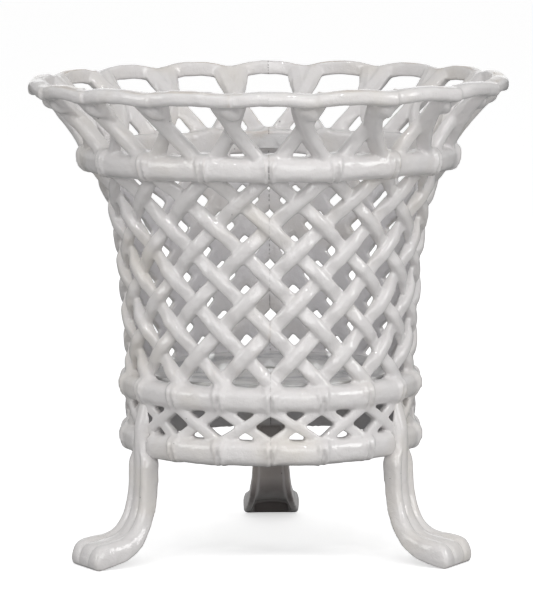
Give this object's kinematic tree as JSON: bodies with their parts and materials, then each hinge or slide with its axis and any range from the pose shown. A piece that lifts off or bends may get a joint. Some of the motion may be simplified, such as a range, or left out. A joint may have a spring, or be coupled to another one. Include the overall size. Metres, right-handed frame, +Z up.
{
  "type": "lattice planter",
  "caption": "Round cast-iron planter woven like a cane basket, with a flared border of crossing loops, bamboo rings, a loose floor plate and curved legs.",
  "frame": {"origin": "on the ground, midway between the outermost points of the rim", "axes": "+Z up; the seam's front end, between the two front legs, faces -Y; +X to the right of someone who looks at the front"},
  "size_m": [0.4344, 0.431, 0.4306],
  "materials": {
    "painted_iron": "gloss white paint",
    "painted_plate": "brushed, weathered white paint",
    "painted_strap": "white paint",
    "fasteners": "white paint"
  },
  "bodies": {
    "basket": {"right_shell": "painted_iron", "left_shell": "painted_iron", "front_right_leg": "painted_iron", "front_left_leg": "painted_iron", "back_leg": "painted_iron", "front_right_leg_bolts": "fasteners", "front_left_leg_bolts": "fasteners", "back_leg_bolts": "fasteners", "upper_front_strap": "painted_strap", "upper_back_strap": "painted_strap", "lower_front_strap": "painted_strap", "upper_front_strap_screws": "fasteners", "upper_back_strap_screws": "fasteners", "lower_front_strap_screws": "fasteners"},
    "floor": {"floor_plate": "painted_plate"}
  },
  "joints": [
    {"name": "floor_lift", "type": "slide", "parent": "basket", "child": "floor", "axis": [0, 0, 1], "range_m": [0, 0.29]}
  ]
}
